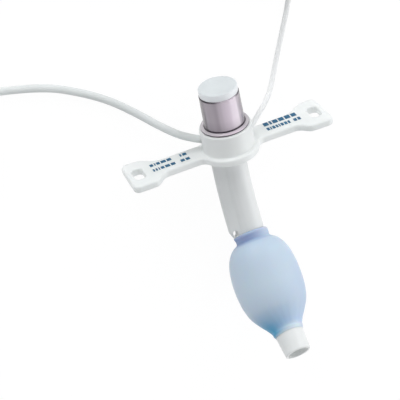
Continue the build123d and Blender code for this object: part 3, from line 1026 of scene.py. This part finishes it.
@dataclass
class WingPrint:
    """The blue print on the wings' front, kept as plain blocks of ink. Its sizes are in mm."""

    place: Place
    thickness: float = 0.04
    gap: float = 0.36
    rows: tuple[PrintRow, ...] = (
        PrintRow("left_back", -30.6, -15.8, -4.4, (1.0, 0.35, 1.0, 1.5, 1.3, -2.0, 0.5, 1.2), 1.75),
        PrintRow("left_front", -30.6, -15.8, -0.6, (0.5, 0.5, 0.35, 1.0, 1.4, 1.3, -1.0, 1.2, 1.2), 1.75),
        PrintRow("right_back", 16.2, 29.6, -4.9, (1.4, 0.6, 1.4, 1.5, 1.5, 1.4), 2.5),
        PrintRow("right_front", 16.2, 30.0, -1.1,
                 (1.0, 0.5, 1.0, 0.8, 0.5, 1.0, 1.1, 0.8, -0.8, 1.2, 1.1), 2.05),
    )

    def blocks(self) -> Growth:
        """Make the node tree that sets one block of ink on each point of a row.

        Returns:
            The tree, with inputs for the blocks' height and thickness and the ink.
        """
        growth = Growth("print_blocks", ("Block height", "Ink thickness"), "Ink")
        width = growth.put("GeometryNodeInputNamedAttribute", Name="block_width")
        width.data_type = "FLOAT"
        scale = growth.put("ShaderNodeCombineXYZ")
        growth.join(width.outputs["Attribute"], scale.inputs["X"])
        growth.join(growth.inputs["Block height"], scale.inputs["Y"])
        growth.join(growth.inputs["Ink thickness"], scale.inputs["Z"])
        block = growth.put("GeometryNodeMeshCube", Size=(1.0, 1.0, 1.0))
        spread = growth.put("GeometryNodeInstanceOnPoints")
        growth.join(growth.inputs["Geometry"], spread.inputs["Points"])
        growth.join(block.outputs["Mesh"], spread.inputs["Instance"])
        growth.join(scale.outputs["Vector"], spread.inputs["Scale"])
        growth.end(spread.outputs["Instances"])
        return growth

    def row_points(self, row: PrintRow) -> tuple[list[tuple[float, float, float]], list[float]]:
        """Share a row's length among its blocks.

        Args:
            row: The row.

        Returns:
            The blocks' centres and widths in metres, on a flat sheet.
        """
        total = sum(abs(width) for width in row.blocks) + self.gap * (len(row.blocks) - 1)
        unit = (row.end - row.start) / total
        at = row.start
        points, widths = [], []
        for width in row.blocks:
            if width > 0:
                points.append(((at + width * unit / 2) * MM, -row.across * MM, 0.0))
                widths.append(width * unit * MM)
            at += (abs(width) + self.gap) * unit
        return points, widths

    def build(self, ink: bpy.types.Material) -> list[bpy.types.Object]:
        """Print every row.

        Args:
            ink: The ink's material.

        Returns:
            The rows' blocks, riding on the tube's body.
        """
        growth = self.blocks()
        lay = Matrix.Identity(4)
        lay.col[0] = (*self.place.direction(1.0, 0.0, 0.0), 0.0)
        lay.col[1] = (*self.place.direction(0.0, 0.0, -1.0), 0.0)
        lay.col[2] = (*self.place.direction(0.0, 1.0, 0.0), 0.0)
        lay.col[3] = (*self.place.point(0.0, 0.0, 0.0), 1.0)
        made = []
        for row in self.rows:
            points, widths = self.row_points(row)
            seed = bpy.data.meshes.new(f"print_{row.name}_points")
            seed.from_pydata(points, [], [])
            seed.attributes.new("block_width", "FLOAT", "POINT").data.foreach_set("value", widths)
            mesh = growth.grow(seed, {
                "Block height": row.height * MM, "Ink thickness": 2 * self.thickness * MM, "Ink": ink})
            mesh.transform(lay)
            mesh.update()
            made.append(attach(new_object(f"print_{row.name}", mesh), TUBE_BODY))
        return made


@dataclass
class Line:
    """A soft line: its free way over the table, its put-away coil and the tail to its end piece.

    Its route and its sizes are in mm. Its whole length and the place of its end are in metres.
    """

    name: str
    diameter: float
    route: tuple[tuple[float, float, float], ...]
    coil_radius: float
    turns: float
    pitch: float
    tail_runs: tuple[float, float, float]
    tail_height: float
    exit: tuple[float, float, float]
    length: float
    solids: tuple[str, ...]
    points_per_turn: int = 16
    first_drop: float = 0.125
    end_heading: Vector = field(default_factory=Vector)
    end_point: Vector = field(default_factory=Vector)

    def points(self) -> list[Vector]:
        """Lay out the line's control points.

        Returns:
            The points in metres.
        """
        start = Vector(self.route[-1])
        heading = (start - Vector(self.route[-2])).normalized()
        left = Vector((-heading.y, heading.x, 0.0))
        centre = start + left * self.coil_radius
        steps = round(self.turns * self.points_per_turn)
        sweep = 2 * math.pi * self.turns / steps
        reach = self.coil_radius / math.cos(sweep / 2)
        route = [Vector(point) for point in self.route]
        for i in range(steps):
            turn = sweep * (i + 0.5)
            out = -left * math.cos(turn) + heading * math.sin(turn)
            rise = self.pitch * self.turns * (i + 0.5) / steps
            route.append(centre + out * reach + Vector((0.0, 0.0, rise)))
        whole = 2 * math.pi * self.turns
        out_heading = left * math.sin(whole) + heading * math.cos(whole)
        leave = centre + (-left * math.cos(whole) + heading * math.sin(whole)) * self.coil_radius
        leave.z = start.z + self.pitch * self.turns
        first, second, third = self.tail_runs
        drop = Vector((0.0, 0.0, leave.z - self.tail_height))
        route.append(leave + out_heading * first - drop * self.first_drop)
        route.append(leave + out_heading * (first + second) - drop)
        route.append(leave + out_heading * (first + second + third) - drop)
        self.end_heading = out_heading
        self.end_point = route[-1] * MM
        return [point * MM for point in route]

    def build(self, silicone: bpy.types.Material) -> bpy.types.Object:
        """Build the line as one smooth curve and dress it.

        Args:
            silicone: The line's material.

        Returns:
            The line, riding on the tube's body.
        """
        curve = bpy.data.curves.new(self.name, "CURVE")
        curve.dimensions = "3D"
        curve.bevel_depth = self.diameter / 2 * MM
        curve.bevel_resolution = 8
        curve.use_fill_caps = True
        curve.resolution_u = 12
        points = self.points()
        spline = curve.splines.new("NURBS")
        spline.points.add(len(points) - 1)
        for slot, point in zip(spline.points, points):
            slot.co = (*point, 1.0)
        spline.order_u = 3
        spline.use_endpoint_u = True
        curve.materials.append(silicone)
        thing = new_object(self.name, curve)
        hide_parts(*self.solids)
        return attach(thing, TUBE_BODY)

    def declare(self, thing: bpy.types.Object, pieces: Sequence[bpy.types.Object]) -> None:
        """Do nothing: the line's measures and the pieces at its end are not said here.

        Args:
            thing: The line. Not used.
            pieces: The pieces at its end. Not used.
        """


@dataclass
class PilotBalloon:
    """The pilot balloon: two films welded round their edge, with a sleeve at each end.

    Its origin is in metres, and its sizes are in mm.
    """

    origin: Vector
    heading: Vector
    length: float = 34.0
    half_width: float = 6.6
    half_height: float = 4.2
    seam: float = 0.42
    seam_edge: int = 40
    pleat_height: float = 0.24
    pleats: int = 18
    film_wall: float = 0.3
    sleeve_wall: float = 1.1
    line_sleeve: tuple[float, float] = (-4.0, 2.15)
    valve_sleeve: tuple[float, float] = (39.0, 3.95)
    outline: tuple[tuple[float, float], ...] = (
        (0.0, 0.0), (0.08, 0.3), (0.2, 0.68), (0.35, 0.94), (0.5, 1.0), (0.68, 0.95), (0.84, 0.66),
        (0.94, 0.3), (1.0, 0.0))
    rows: int = 90
    columns: int = 96

    def fullness(self, at: float) -> float:
        """Read how full the balloon is at a place along it, from 0 to 1."""
        return spline_through(self.outline, min(1.0, max(0.0, at / self.length)))

    def wall(self, at: float) -> float:
        """Read the film's thickness at a place along it, in mm, which is more in the sleeves."""
        more = (self.sleeve_wall - self.film_wall) * (1 - self.fullness(at))
        return min(self.sleeve_wall, self.film_wall + more)

    def ring(self, at: float, inset: float) -> list[Vector]:
        """Make one ring of the balloon's skin.

        Args:
            at: The place along the balloon, in mm.
            inset: How far the ring lies inside the skin, in mm.

        Returns:
            The ring's points in metres.
        """
        share = min(1.0, max(0.0, at / self.length))
        out = self.fullness(at)
        neck = self.line_sleeve[1] + (self.valve_sleeve[1] - self.line_sleeve[1]) * share
        wide = neck + (self.half_width - neck) * out - inset
        tall = neck + (self.half_height - neck) * out - inset
        side = Vector((-self.heading.y, self.heading.x, 0.0))
        ring = []
        for j in range(self.columns):
            turn = 2 * math.pi * j / self.columns
            weld = self.seam * out * abs(math.cos(turn)) ** self.seam_edge if inset == 0 else 0.0
            pleat = self.pleat_height * math.sin(self.pleats * turn) * out * (1 - out) * abs(math.sin(turn))
            across = (wide + weld + pleat) * math.cos(turn)
            up = (tall + pleat) * math.sin(turn)
            ring.append(self.origin + (self.heading * at + side * across + Vector((0.0, 0.0, up))) * MM)
        return ring

    def build(self, film: bpy.types.Material) -> bpy.types.Object:
        """Build the balloon and dress it.

        Args:
            film: The balloon's material.

        Returns:
            The balloon, riding on the tube's body.
        """
        first, last = self.line_sleeve[0], self.valve_sleeve[0]
        places = [first + (last - first) * i / self.rows for i in range(self.rows + 1)]
        outer = [self.ring(at, 0.0) for at in places]
        inner = [self.ring(at, self.wall(at)) for at in places]
        thing = skin_rings("pilot_balloon_film", outer + inner[::-1])
        thing.data.materials.append(film)
        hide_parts("pilot_balloon")
        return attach(thing, TUBE_BODY)


@dataclass(frozen=True)
class PilotFilm:
    """Clear, faintly blue balloon film with a milky skin."""

    name: str = "pilot_film"
    tint: tuple[float, float, float] = (0.66, 0.76, 0.88)
    dull: float = 0.93

    def build(self) -> bpy.types.Material:
        """Build the material.

        Returns:
            The material.
        """
        shader = Shader(self.name)
        shader.set(Roughness=0.34, IOR=1.42, Specular_IOR_Level=0.35, Transmission_Weight=0.35)
        dull = [channel * self.dull for channel in self.tint]
        color = shader.ramp(shader.noise(Grain.HAZY, octaves=3.0), [(0.3, dull), (0.7, self.tint)], Ramp.SOFT)
        shader.join(color, shader.surface.inputs["Base Color"])
        shader.bump(shader.noise(Grain.FILM, octaves=2.0), strength=0.05, distance=0.0001)
        return shader.material


@dataclass
class ValveSpring:
    """The pilot valve's coil spring, wound at one fixed length. The real one shortens as the plunger is pushed
    in.

    Its origin is in metres, and its sizes are in mm.
    """

    origin: Vector
    heading: Vector
    start: float = 1.65
    end: float = 6.4
    coil_radius: float = 1.35
    wire_radius: float = 0.2
    turns: float = 5.0
    stroke: float = 1.2
    steps_per_turn: int = 32
    wire_sides: int = 12

    def winding(self) -> Growth:
        """Make the node tree that winds the wire.

        Returns:
            The tree, with inputs for the coil's radius, height and turns, the wire's radius and the steel.
        """
        growth = Growth("wound_wire", ("Coil radius", "Coil height", "Turns", "Wire radius"), "Steel")
        helix = growth.put("GeometryNodeCurveSpiral", Resolution=self.steps_per_turn)
        growth.join(growth.inputs["Turns"], helix.inputs["Rotations"])
        growth.join(growth.inputs["Coil radius"], helix.inputs["Start Radius"])
        growth.join(growth.inputs["Coil radius"], helix.inputs["End Radius"])
        growth.join(growth.inputs["Coil height"], helix.inputs["Height"])
        wire = growth.put("GeometryNodeCurvePrimitiveCircle", Resolution=self.wire_sides)
        growth.join(growth.inputs["Wire radius"], wire.inputs["Radius"])
        drawn = growth.put("GeometryNodeCurveToMesh", Fill_Caps=True)
        growth.join(helix.outputs["Curve"], drawn.inputs["Curve"])
        growth.join(wire.outputs["Curve"], drawn.inputs["Profile Curve"])
        smooth = growth.put("GeometryNodeSetShadeSmooth")
        growth.join(drawn.outputs["Mesh"], smooth.inputs["Geometry"])
        growth.end(smooth.outputs["Geometry"])
        return growth

    def build(self, steel: bpy.types.Material) -> bpy.types.Object:
        """Wind the spring between the retainer and the plunger's head.

        Args:
            steel: The wire's material.

        Returns:
            The spring, riding on the tube's body.
        """
        mesh = self.winding().grow(bpy.data.meshes.new("spring_seed"), {
            "Coil radius": self.coil_radius * MM, "Coil height": (self.end - self.start) * MM,
            "Turns": self.turns, "Wire radius": self.wire_radius * MM, "Steel": steel})
        turn = self.heading.to_track_quat("Z", "Y").to_matrix().to_4x4()
        mesh.transform(Matrix.Translation(self.origin + self.heading * self.start * MM) @ turn)
        mesh.update()
        spring = new_object("valve_spring_wire", mesh)
        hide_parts("valve_spring")
        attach(spring, TUBE_BODY)
        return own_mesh(spring)


class RigidDress:
    """Gives each carried-over rigid piece its material."""

    def __init__(self, nodes: dict[str, bpy.types.Object]) -> None:
        """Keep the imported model's pieces by name."""
        self.nodes = nodes

    def dress(self, names: Sequence[str], material: bpy.types.Material) -> None:
        """Put one material on several pieces.

        Args:
            names: The pieces' names.
            material: The material.
        """
        for name in names:
            thing = self.nodes[name]
            thing.data.materials.clear()
            thing.data.materials.append(material)
            log.info("dressed %s with %s", name, material.name)


@dataclass(frozen=True)
class Lamp:
    """A soft square lamp that looks at the device. Its place and side are in metres, its power in watts."""

    name: str
    place: tuple[float, float, float]
    side: float
    power: float
    aim: tuple[float, float, float] = (0.0, 0.0, 0.01)

    def hang(self) -> None:
        """Hang the lamp."""
        light = bpy.data.lights.new(self.name, "AREA")
        light.shape = "SQUARE"
        light.size = self.side
        light.energy = self.power
        lamp = new_object(self.name, light)
        lamp.location = self.place
        lamp.rotation_euler = (Vector(self.aim) - Vector(self.place)).to_track_quat("-Z", "Y").to_euler()


@dataclass
class Studio:
    """A white table in soft light: a floor that keeps a faint shadow, four soft lamps and a pale world."""

    ambient: float = 0.52
    daylight: tuple[float, float, float, float] = (0.97, 0.98, 1.0, 1.0)
    table_side: float = 6.0
    table_white: tuple[float, float, float, float] = (0.9, 0.9, 0.9, 1.0)
    glow: float = 0.92
    glow_strength: float = 1.03
    lamps: tuple[Lamp, ...] = (
        Lamp("key_lamp", (0.85, 0.90, 0.50), 0.7, 4.5),
        Lamp("side_lamp", (0.80, -0.50, 0.30), 0.8, 3.7),
        Lamp("wing_lamp", (-0.35, 1.05, 0.35), 0.7, 4.9),
        Lamp("top_lamp", (-0.1, -0.3, 1.1), 0.7, 0.5),
    )

    def world(self) -> None:
        """Light the world evenly, and show it pale to the camera and in reflections."""
        world = bpy.data.worlds.new("studio")
        bpy.context.scene.world = world
        world.use_nodes = True
        world.node_tree.nodes.clear()
        graph = NodeGraph(world.node_tree)
        light = graph.put("ShaderNodeBackground", Color=self.daylight, Strength=self.ambient)
        pale = graph.put("ShaderNodeBackground", Strength=1.0)
        shown = graph.blend(graph.looked_at(), light.outputs["Background"], pale.outputs["Background"])
        graph.join(shown, graph.put("ShaderNodeOutputWorld").inputs["Surface"])

    def table(self) -> None:
        """Lay the white table."""
        half = self.table_side / 2
        mesh = bpy.data.meshes.new("table")
        corners = [(-half, -half, 0.0), (half, -half, 0.0), (half, half, 0.0), (-half, half, 0.0)]
        mesh.from_pydata(corners, [], [(0, 1, 2, 3)])
        shader = Shader("table_white")
        shader.set(Base_Color=self.table_white, Roughness=0.8)
        bright = shader.put("ShaderNodeEmission", Strength=self.glow_strength)
        share = shader.combine("MULTIPLY", shader.looked_at(), self.glow)
        shown = shader.blend(share, shader.surface.outputs["BSDF"], bright.outputs["Emission"])
        shader.join(shown, shader.tree.nodes["Material Output"].inputs["Surface"])
        mesh.materials.append(shader.material)
        new_object("table", mesh)

    def build(self) -> None:
        """Set up the world, the table and the lamps."""
        self.world()
        self.table()
        for lamp in self.lamps:
            lamp.hang()


@dataclass(frozen=True)
class PhotoCamera:
    """The camera of the photograph: a long lens that looks down on the device.

    Its place is in metres, and its lens in mm.
    """

    place: tuple[float, float, float] = (-0.19505, 0.28264, 0.78108)
    right: tuple[float, float, float] = (0.919, -0.25296, 0.30248)
    back: tuple[float, float, float] = (-0.214, 0.3244, 0.92137)
    lens: float = 199.34

    def build(self) -> None:
        """Set the camera up."""
        data = bpy.data.cameras.new("photo_camera")
        data.lens = self.lens
        data.sensor_width = 36.0
        data.clip_start = 0.01
        data.clip_end = 20.0
        camera = new_object("photo_camera", data)
        back = Vector(self.back).normalized()
        right = Vector(self.right)
        right = (right - back * right.dot(back)).normalized()
        up = back.cross(right)
        turn = Matrix((right, up, back)).transposed().to_4x4()
        camera.matrix_world = Matrix.Translation(Vector(self.place)) @ turn
        bpy.context.scene.camera = camera


def talk_line() -> Line:
    """Lay out the talk line, from the hub's left side.

    Returns:
        The line.
    """
    return Line(
        name="talk_line_tube", diameter=3.0,
        route=((-7.22, 32.88, 10.86), (-14.53, 36.0, 9.32), (-21.5, 41.8, 5.9), (-28.4, 49.0, 2.5),
               (-37.0, 57.2, 1.5), (-46.8, 63.8, 1.5), (-58.5, 70.0, 1.5), (-78.5, 75.0, 1.5),
               (-88.8, 75.85, 1.5), (-98.6, 77.8, 1.5)),
        coil_radius=15.5, turns=2.25, pitch=3.06, tail_runs=(8.0, 9.0, 9.0), tail_height=3.7,
        exit=(-9.56, 33.88, 10.36), length=0.352, solids=("talk_line", "talk_line_coil"))


def inflation_line() -> Line:
    """Lay out the inflation line, from the hub's right side.

    Returns:
        The line.
    """
    return Line(
        name="inflation_line_tube", diameter=2.0,
        route=((8.04, 30.85, 12.85), (13.73, 35.78, 11.85), (19.2, 38.5, 8.0), (23.6, 42.0, 4.4),
               (28.0, 48.6, 1.7), (32.6, 57.0, 1.0), (38.4, 68.0, 1.0), (43.0, 78.4, 1.0), (46.3, 87.9, 1.0)),
        coil_radius=11.0, turns=3.286, pitch=2.04, tail_runs=(7.0, 9.0, 9.0), tail_height=4.4,
        exit=(9.99, 32.54, 12.51), length=0.326, solids=("inflation_line", "inflation_line_coil"))


def report(*pieces: bpy.types.Object) -> None:
    """Report each piece that is in place."""
    for piece in pieces:
        log.info("%s in place", piece.name)


def main() -> None:
    """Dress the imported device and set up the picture."""
    logging.basicConfig(level=logging.INFO, format="%(message)s")
    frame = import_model()
    nodes = frame["nodes"]
    bpy.context.scene.view_settings.view_transform = "Standard"
    place = Place()
    PhotoCamera().build()

    talk, inflation = talk_line(), inflation_line()
    talk_tube = talk.build(Silicone(
        "talk_silicone", light=(0.72, 0.75, 0.745), cloud=(0.69, 0.72, 0.715),
        roughness=0.65, depth=0.5, gloss=0.0).build())
    inflation_tube = inflation.build(Silicone(
        "inflation_silicone", light=(0.86, 0.875, 0.87), cloud=(0.83, 0.845, 0.84),
        roughness=0.65, depth=0.5, gloss=0.0).build())
    report(talk_tube, inflation_tube)

    dress = RigidDress(nodes)
    dress.dress(("neck_flange", "airway_tube"), Silicone("airway_silicone", depth=0.42).build())
    dress.dress(("airway_connector",), ClearPlastic("connector_clear", place).build())
    dress.dress(("mouth_plug",), PlugPlastic("plug_milky", (0.67, 0.712, 0.725)).build())
    dress.dress(("talk_connector", "valve_body", "valve_retainer"),
                MouldedPlastic("fitting_milky", (0.78, 0.81, 0.83), roughness=0.24).build())
    dress.dress(("valve_plunger",),
                MouldedPlastic("plunger_blue", (0.08, 0.20, 0.46), roughness=0.35, depth=0.05).build())
    dress.dress(("valve_seal",),
                MouldedPlastic("seal_black", (0.02, 0.02, 0.022), roughness=0.5, depth=0.0).build())

    report(Cuff(TubeAxis(place)).build(CuffFilm().build()))
    report(*WingPrint(place).build(Ink().build()))
    pilot = PilotBalloon(inflation.end_point, inflation.end_heading).build(PilotFilm().build())
    valve = inflation.end_point + inflation.end_heading * PilotBalloon.length * MM
    spring = ValveSpring(valve, inflation.end_heading).build(SpringSteel().build())
    report(pilot, spring)

    talk.declare(talk_tube, [nodes["talk_connector"]])
    inflation.declare(inflation_tube, [pilot, spring, *(nodes[name] for name in (
        "valve_body", "valve_retainer", "valve_plunger", "valve_seal"))])
    Studio().build()


if __name__ == "__main__":
    main()
